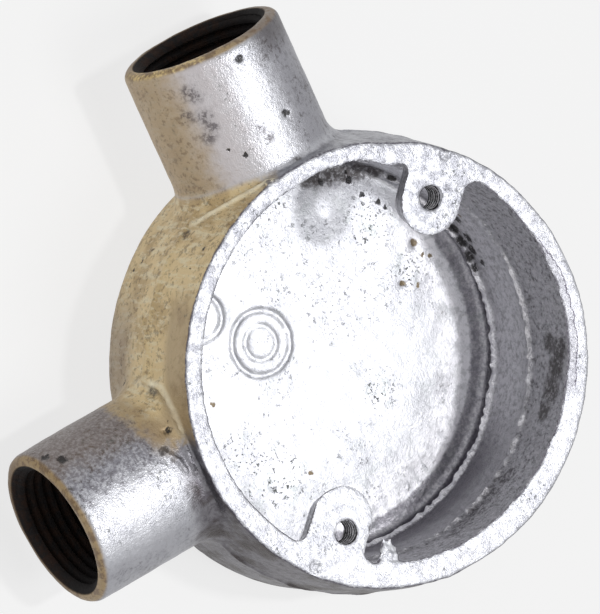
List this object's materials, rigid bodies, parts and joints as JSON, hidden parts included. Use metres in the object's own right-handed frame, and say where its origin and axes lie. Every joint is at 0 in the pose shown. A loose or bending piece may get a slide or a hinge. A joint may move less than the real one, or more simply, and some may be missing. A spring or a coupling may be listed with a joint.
{
  "type": "conduit angle box",
  "caption": "Round galvanised iron conduit box, open at the front, with tapped spouts at a right angle and inner tongues for the lid's screws.",
  "frame": {"origin": "centre of the flat back face, on the round body's axis", "axes": "+Z out of the open face, +X along one spout, +Y along the other"},
  "size_m": [0.0873, 0.0873, 0.027],
  "materials": {
    "galvanised_iron": "hot-dip galvanised malleable iron, matt to satin pale grey, pitted, with tan and rust stains"
  },
  "bodies": {
    "root": {"box_casting": "galvanised_iron"}
  },
  "joints": []
}
